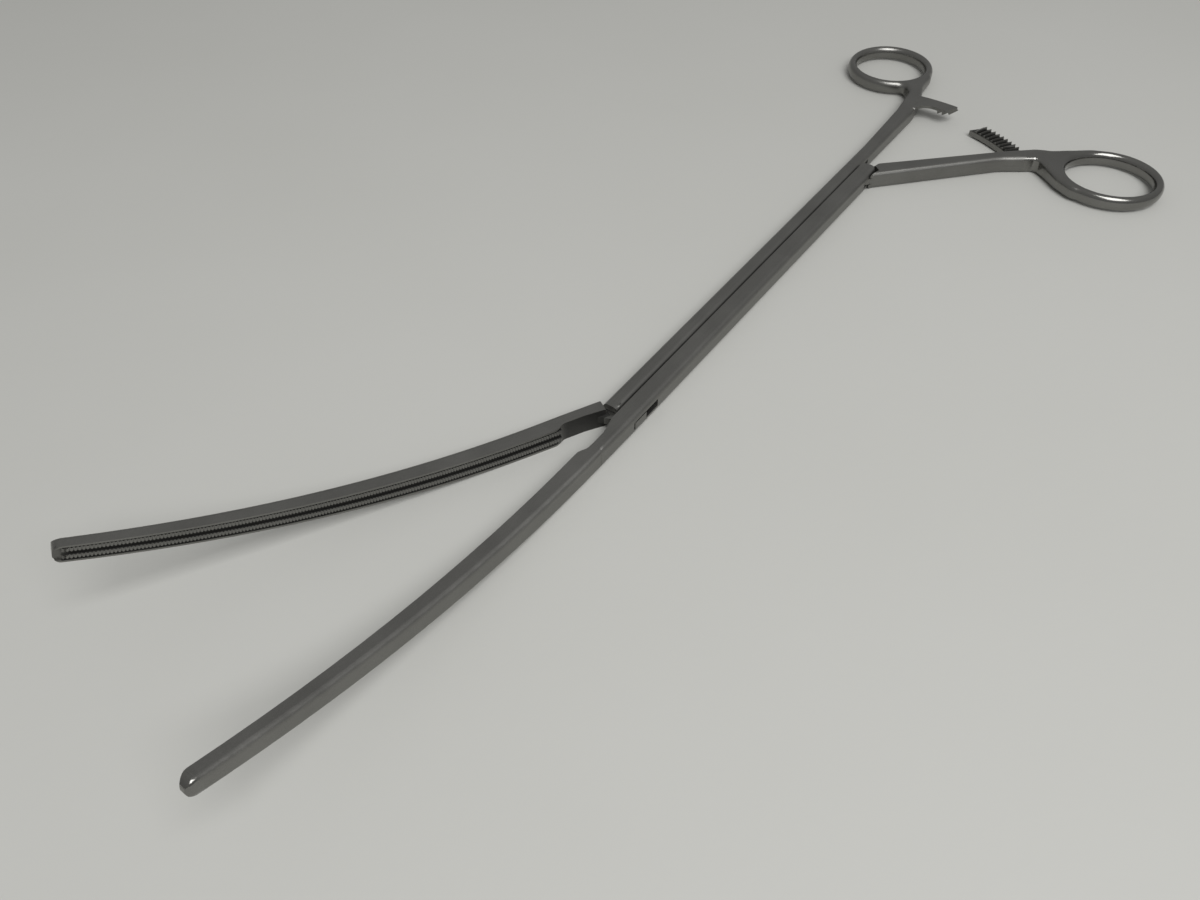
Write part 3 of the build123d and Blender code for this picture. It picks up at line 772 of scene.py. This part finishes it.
def level_side(points):
    """From x = 1 to 12.4 mm the bar's side draws in by 0.2 mm and its rounding shrinks by 0.3 mm, to meet
    the jaw. A point of the rounding keeps its angle a and moves to (side - r + r cos a, half - r + r sin
    a). The side itself narrows evenly, by 0.25 mm between the handle's pin and the jaw's root."""
    x, y, z = (points / MM).T
    half, full_round, pin_x = BAR_HEIGHT / 2 / MM, SIDE_ROUND / MM, HANDLE_PIN[0] / MM
    side = JAW_BAR_SIDE / MM - SIDE_NARROWS * (x - pin_x) / (JAW_ROOT - pin_x)
    share = eased(x, *LEVELLED) * (x < JAW_ROOT + 0.05)
    into = np.abs(z - half) - (half - full_round)
    corner = (into > -0.002) & (y > side - full_round - 0.002) & (share > 0)
    a = np.arctan2(np.maximum(into, 0.0), np.maximum(y - side + full_round, 0.0))
    r = full_round - ROUND_SHRINKS * share
    shift = LEVEL_SHIFT * share
    new_y = np.where(corner, side - shift - r + r * np.cos(a), y - shift * (y > side - 0.3))
    new_z = np.where(corner, half + np.sign(z - half) * (half - r + r * np.sin(a)), z)
    return np.column_stack([x, new_y, new_z]) * MM


print("side formulas ready")

# %% [markdown]
# ## Jaw bar and moving jaw
# Both pieces get cuts across their tips. The jaw bar also gets level cuts round the head, at the heights
# where its rounding turns by even angles, and cuts across the stretch of side that is levelled. The moving
# jaw is squeezed only upwards and downwards, because its toothed face has to stay on the plane where the
# jaws meet.

# %% Jaw bar and moving jaw
def head_cut(way, angle):
    """A level plane where the rounding of the bar's section has turned by that angle, up or down from its
    middle."""
    level = BAR_HEIGHT / 2 + way * (BAR_HEIGHT / 2 - SIDE_ROUND + SIDE_ROUND * np.sin(angle))
    low, high = (HANDLE_PIN[0] - 7 * MM, 3 * MM, -1), (HANDLE_PIN[0] + 7 * MM, 9 * MM, 1)
    return ((0, 0, level), (0, 0, 1), low, high)


def side_cut(x):
    """A plane across the bar's side."""
    return ((x, 0, 0), (1, 0, 0), (-140 * MM, 1 * MM, -1), (14 * MM, 9 * MM, 1))


head_cuts = [head_cut(way, angle) for way in (-1, 1) for angle in np.linspace(0.0, 1.4, 6)]
side_cuts = [side_cut(x * MM) for x in np.arange(LEVELLED[0], LEVELLED[1], 1.6)]
bar_mesh = worked_copy("jaw_bar", tip_cuts(fixed_end, fixed_along) + head_cuts + side_cuts)
bar_points = flush_head(level_side(round_tip(points_of(bar_mesh), fixed_end, fixed_along)))
put_in_place(bar_mesh, bar_points, "jaw_bar", "jaw_bar_body")
jaw_mesh = worked_copy("moving_jaw", tip_cuts(swung_end, swung_along))
jaw_points = round_tip(points_of(jaw_mesh), swung_end, swung_along, sideways=0.0, upper=0.65, lower=0.15)
put_in_place(jaw_mesh, jaw_points, "moving_jaw", "moving_jaw_body")

# %% [markdown]
# ## Finger rings
# Each ring is an oval band with a nearly round section, as the die leaves it. Its neck is the outline of
# the forging seen from above, from the shank round the ring, with an arc at every corner. The neck is a
# little higher than the ring, so its height eases down over the last millimetres. The CAD piece keeps its
# bar and its ratchet arm: it is cut off across the shank just before the neck, and the new ring end starts
# there, a hundredth of a millimetre under its skin, so that the joint doesn't show.

# %% Outlines of the necks
# Each corner is (x, y, radius of its arc) in millimetres.
NECK_1 = [(-160.0, -4.15, 0), (-168.0, -5.1, 20), (-181.6, -6.6, 1.5), (-187.4, -10.4, 0.5),
          (-191.0, -12.0, 0.5), (-199.0, -6.1, 1.0), (-188.0, -3.9, 8), (-179.0, -1.25, 5),
          (-171.0, -0.15, 0)]
NECK_2 = [(-158.6, 29.9, 0), (-163.6, 35.1, 8), (-167.6, 39.6, 6), (-169.6, 43.6, 5), (-173.0, 47.3, 8),
          (-177.2, 55.4, 1.0), (-172.0, 57.0, 0.5), (-160.0, 55.0, 0.5), (-153.0, 56.0, 0.5),
          (-155.9, 50.0, 8), (-162.4, 42.4, 1.8), (-156.0, 33.5, 0)]


def arced(corners, steps=7):
    """Replaces each corner by an arc. The arc starts r / tan(half the corner's angle) before it, and its
    centre lies r / sin(half the angle) along the line that halves the angle."""
    line = []
    for k, (x, y, r) in enumerate(corners):
        here = np.array([x, y])
        if not r:
            line.append((x, y))
            continue
        back = np.array(corners[k - 1][:2]) - here
        ahead = np.array(corners[(k + 1) % len(corners)][:2]) - here
        back, ahead = back / np.linalg.norm(back), ahead / np.linalg.norm(ahead)
        half = np.arccos(np.clip(back @ ahead, -1, 1)) / 2
        centre = here + (back + ahead) / np.linalg.norm(back + ahead) * r / np.sin(half)
        start = here + back * r / np.tan(half) - centre
        end = here + ahead * r / np.tan(half) - centre
        for t in np.linspace(0.0, 1.0, steps):
            spoke = start * (1 - t) + end * t
            line.append(tuple(centre + spoke * r / np.linalg.norm(spoke)))
    return line


print("neck outlines:", len(arced(NECK_1)), "and", len(arced(NECK_2)), "points")

# %% Ring end formula
# The mesher and its formulas work in millimetres.
RING_HOLE = (12.5, 11.6)
RING_BAND = 2.8
RING_LOW, RING_HIGH = 0.45, 4.65
RING_ROUND = 1.36
RING_STRETCH = 0.72
NECK_RISE = (-0.5, 6.0)
NECK_SOFTNESS = 3.5
UNDER_SKIN = 0.01
REACH_BACK = 0.8


def ring_end(neck, centre, angle, cut_point, cut_way):
    """Seen from above the solid is melt(neck outline, outer oval) without the hole. Its half height is 2.1
    mm at the ring and eases up to the bar's 2.55 mm at the shank. Its edges are rounded, and on the ring
    the rounding is stretched in height by 1 / 0.72, which makes the band's section nearly oval."""
    line = arced(neck)
    middle, ring_half = (RING_LOW + RING_HIGH) / 2, (RING_HIGH - RING_LOW) / 2
    long_half, wide_half = RING_HOLE[0] + RING_BAND / 2, RING_HOLE[1] + RING_BAND / 2
    centre = (centre[0] / MM, centre[1] / MM)

    def distance(x, y, z):
        band = oval_distance(x, y, centre, angle, long_half, wide_half)
        outline = melt(polygon_distance(x, y, line), band - RING_BAND / 2, NECK_SOFTNESS)
        outline = np.maximum(outline, -band - RING_BAND / 2)
        rise = eased(band - RING_BAND / 2, *NECK_RISE)
        half = blended(ring_half, BAR_HEIGHT / 2 / MM, rise)
        radius = blended(RING_ROUND, SIDE_ROUND / MM, rise)
        up = (np.abs(z - middle) - half) * blended(RING_STRETCH, 1.0, rise) + radius
        out = outline + radius
        outside = np.hypot(np.maximum(out, 0.0), np.maximum(up, 0.0))
        slab = outside + np.minimum(np.maximum(out, up), 0.0) - radius
        past = (x - cut_point[0]) * cut_way[0] + (y - cut_point[1]) * cut_way[1]
        return np.maximum(slab + UNDER_SKIN * (1.0 - eased(past, 0.0, 1.0)), -past - REACH_BACK)

    return distance


print("ring end formula ready")

# %% Ring ends
# Each cut is a point of the shank and the way towards the ring, in millimetres.
CUT_1 = ((-180.9, -4.0), (-1.0, 0.0))
CUT_2 = ((-165.5, 40.1), (-0.471, 0.882))
RING_1_TURN, RING_2_TURN = radians(10), radians(125)
RING_1_BOX = ((-215.0, -36.0, -0.4), (-179.5, 0.5, 5.5))
RING_2_BOX = ((-183.0, 36.5, -0.4), (-149.0, 79.0, 5.5))

ring_1_mesh = surface_mesh("ring_1_end", ring_end(NECK_1, RING_1, RING_1_TURN, *CUT_1), *RING_1_BOX)
ring_2_mesh = surface_mesh("ring_2_end", ring_end(NECK_2, RING_2, RING_2_TURN, *CUT_2), *RING_2_BOX)

# %% [markdown]
# ## Ring bar
# The bar is cut off before its neck and gets the new ring end, and the two become one piece. On the real
# clamp the ratchet arm ends aslant, so that its outer corner leads. A second trim takes the CAD arm's
# square end off.

# %% Ring bar
EVERYWHERE = ((-1.0, -1.0, -1.0), (1.0, 1.0, 1.0))
ARM_END = (-179.5 * MM, 11.3 * MM, 0.0)
ARM_BOX = ((-181 * MM, 4 * MM, -1.0), (-174 * MM, 13 * MM, 1.0))


def past_cut(cut):
    """The plane of a cut as a trim: point, direction, and a box that holds the whole piece."""
    (x, y), (across, along) = cut
    return ((x * MM, y * MM, 0.0), (across, along, 0.0), *EVERYWHERE)


arm_trim = (ARM_END, (0.50, 0.866, 0.0), *ARM_BOX)
arm_mesh = worked_copy("ring_bar", [], [arm_trim, past_cut(CUT_1)])
ring_bar_mesh = mesh_from_both("ring_bar_ground", arm_mesh, ring_1_mesh)
put_in_place(ring_bar_mesh, points_of(ring_bar_mesh), "ring_bar", "ring_bar_body")

# %% [markdown]
# ## Moving handle
# The handle's shoulder comes forward until it almost touches the head that it turns round. How near it may
# come at each angle follows from where the head's corner gets to when the handle is shut. Moving the
# shoulder's corner alone would leave one big facet, so a row of cuts along the shank gives the formula more
# points to place.

# %% Moving handle
SHANK_WAY = np.array([0.741, -0.671])
SHANK_ACROSS = np.array([-0.671, -0.741])
SHOULDER = np.array([-127.2, 7.4]) * MM
SHOULDER_SLIDE = 3.4 * MM
HEAD_RADIUS = 4.5 * MM
HEAD_GAP = 0.30 * MM


def near_shoulder(points):
    """The front corner slides 3.4 mm along the shank's side, fading to nothing across the shank. Then a
    point at angle a round the pin stays outside max(h(a), h(a + swing)) + gap, with h(a) = min(radius, flat
    / sin a), where flat is how far the bar's side lies from the pin."""
    pin = np.array(HANDLE_PIN)
    flat_side = JAW_BAR_SIDE - HANDLE_PIN[1]
    plan = points[:, :2]
    near = np.linalg.norm(plan - pin, axis=1)
    shoulder = (near > 4.4 * MM) & (near < 14 * MM)
    slide = eased((plan - SHOULDER) @ SHANK_WAY / MM, -7.0, -3.5)
    slide = slide * (1.0 - eased((plan - SHOULDER) @ SHANK_ACROSS / MM, 1.0, 5.5))
    arm = plan + np.where(shoulder, slide * SHOULDER_SLIDE, 0.0)[:, None] * SHANK_WAY - pin
    angle, reach = np.arctan2(arm[:, 1], arm[:, 0]), np.linalg.norm(arm, axis=1)
    head = [np.minimum(HEAD_RADIUS, flat_side / np.maximum(np.sin(angle + swing), 0.05))
            for swing in (0.0, HANDLE_SWING)]
    least = np.maximum(*head) + HEAD_GAP
    push = np.where(shoulder & (reach < least), least / reach, 1.0)
    return np.column_stack([pin + arm * push[:, None], points[:, 2]])


def shoulder_cut(inward):
    """A plane along the shank, that far in from its front side."""
    point = SHOULDER + SHANK_ACROSS * inward
    return ((*point, 0.0), (*SHANK_ACROSS, 0.0), (-133 * MM, 1 * MM, -1.0), (-124 * MM, 9 * MM, 1.0))


shoulder_cuts = [shoulder_cut(inward * MM) for inward in np.arange(0.3, 5.6, 0.4)]
shank_mesh = worked_copy("moving_handle", shoulder_cuts, [past_cut(CUT_2)])
shank_mesh.vertices.foreach_set("co", near_shoulder(points_of(shank_mesh)).ravel())
handle_mesh = mesh_from_both("moving_handle_ground", shank_mesh, ring_2_mesh)
put_in_place(handle_mesh, points_of(handle_mesh), "moving_handle", "moving_handle_body")

# %% [markdown]
# ## Table
# The clamp lies on a pale painted board. A board is never quite even, so its colour drifts a little over a
# hand's width, and a few pinhead dents catch the light. The surface is one grid worked out with numpy.

# %% Table
BOARD_DARK = (0.56, 0.56, 0.53, 1.0)
BOARD_LIGHT = (0.60, 0.60, 0.575, 1.0)


def table_mesh(half=1.6, count=9):
    """A flat square round the clamp: (x, y, 0) with x and y from -half to half. The quads' corners are (i,
    j), (i+1, j), (i+1, j+1) and (i, j+1)."""
    side = np.linspace(-half, half, count)
    x, y = np.meshgrid(side, side, indexing="ij")
    points = np.stack([x, y, np.zeros_like(x)], axis=-1)
    index = np.arange(count * count).reshape(count, count)
    quads = np.stack([index[:-1, :-1], index[1:, :-1], index[1:, 1:], index[:-1, 1:]], axis=-1)
    mesh = bpy.data.meshes.new("table")
    mesh.from_pydata(points.reshape(-1, 3).tolist(), [], quads.reshape(-1, 4).tolist())
    return mesh


def board_material():
    """Matt paint whose colour drifts between two levels, with shallow dents."""
    material = bpy.data.materials.new("pale_board")
    material.use_nodes = True
    tree = material.node_tree
    shader = tree.nodes["Principled BSDF"]
    shader.inputs["Roughness"].default_value = 0.62
    place = add(tree, "ShaderNodeTexCoord").outputs["Object"]
    drift = add(tree, "ShaderNodeTexNoise", {"Vector": place, "Scale": 9.0, "Detail": 3.0}).outputs[0]
    dents = add(tree, "ShaderNodeTexNoise", {"Vector": place, "Scale": 240.0, "Detail": 2.0}).outputs[0]
    tree.links.new(mix_colours(tree, BOARD_DARK, BOARD_LIGHT, drift), shader.inputs["Base Color"])
    bump = add(tree, "ShaderNodeBump", {"Height": dents, "Strength": 0.08, "Distance": 0.0004})
    tree.links.new(bump.outputs["Normal"], shader.inputs["Normal"])
    return material


table = bpy.data.objects.new("table", table_mesh())
table.data.materials.append(board_material())
bpy.context.scene.collection.objects.link(table)
print("table faces:", len(table.data.polygons))

# %% [markdown]
# ## Light
# The picture was taken in soft light from all round, with one broad source high up to the right of the
# camera, which leaves soft shadows under the raised jaws. A steel face that looks up mirrors the far side
# of the room, so that side has to be dim for the satin faces to come out as dark as they do. A world whose
# brightness depends only on height does that, and one area lamp is the broad source.

# %% Tent and lamp
HORIZON_LEVEL, OVERHEAD_LEVEL = 0.265, 0.36
LAMP_TOWARDS = (0.27, 0.46, 0.84)
LAMP_DISTANCE, LAMP_SIZE, LAMP_WATTS = 0.9, 0.62, 5.8


def tent(low, high):
    """The world's brightness by height: low at the horizon, high overhead, smoothly between."""
    world = bpy.data.worlds.new("tent")
    world.use_nodes = True
    tree = world.node_tree
    direction = add(tree, "ShaderNodeTexCoord").outputs["Generated"]
    height = add(tree, "ShaderNodeSeparateXYZ", {0: direction}).outputs[2]
    level = smooth_between(tree, height, 0.0, 1.0, low, high)
    tree.links.new(level, tree.nodes["Background"].inputs["Strength"])
    tree.nodes["Background"].inputs["Color"].default_value = (1.0, 1.0, 0.985, 1.0)
    bpy.context.scene.world = world


def lamp(name, towards, distance, size, watts, aim=(-0.03, 0.01, 0.0)):
    """A square soft box at that distance along towards, facing the point aim."""
    data = bpy.data.lights.new(name, "AREA")
    data.size = size
    data.energy = watts
    body = bpy.data.objects.new(name, data)
    direction = Vector(towards).normalized()
    body.location = Vector(aim) + direction * distance
    body.rotation_mode = "QUATERNION"
    body.rotation_quaternion = direction.to_track_quat("Z", "Y")
    bpy.context.scene.collection.objects.link(body)


tent(HORIZON_LEVEL, OVERHEAD_LEVEL)
lamp("soft_box", LAMP_TOWARDS, LAMP_DISTANCE, LAMP_SIZE, LAMP_WATTS)
bpy.context.scene.view_settings.view_transform = "Standard"
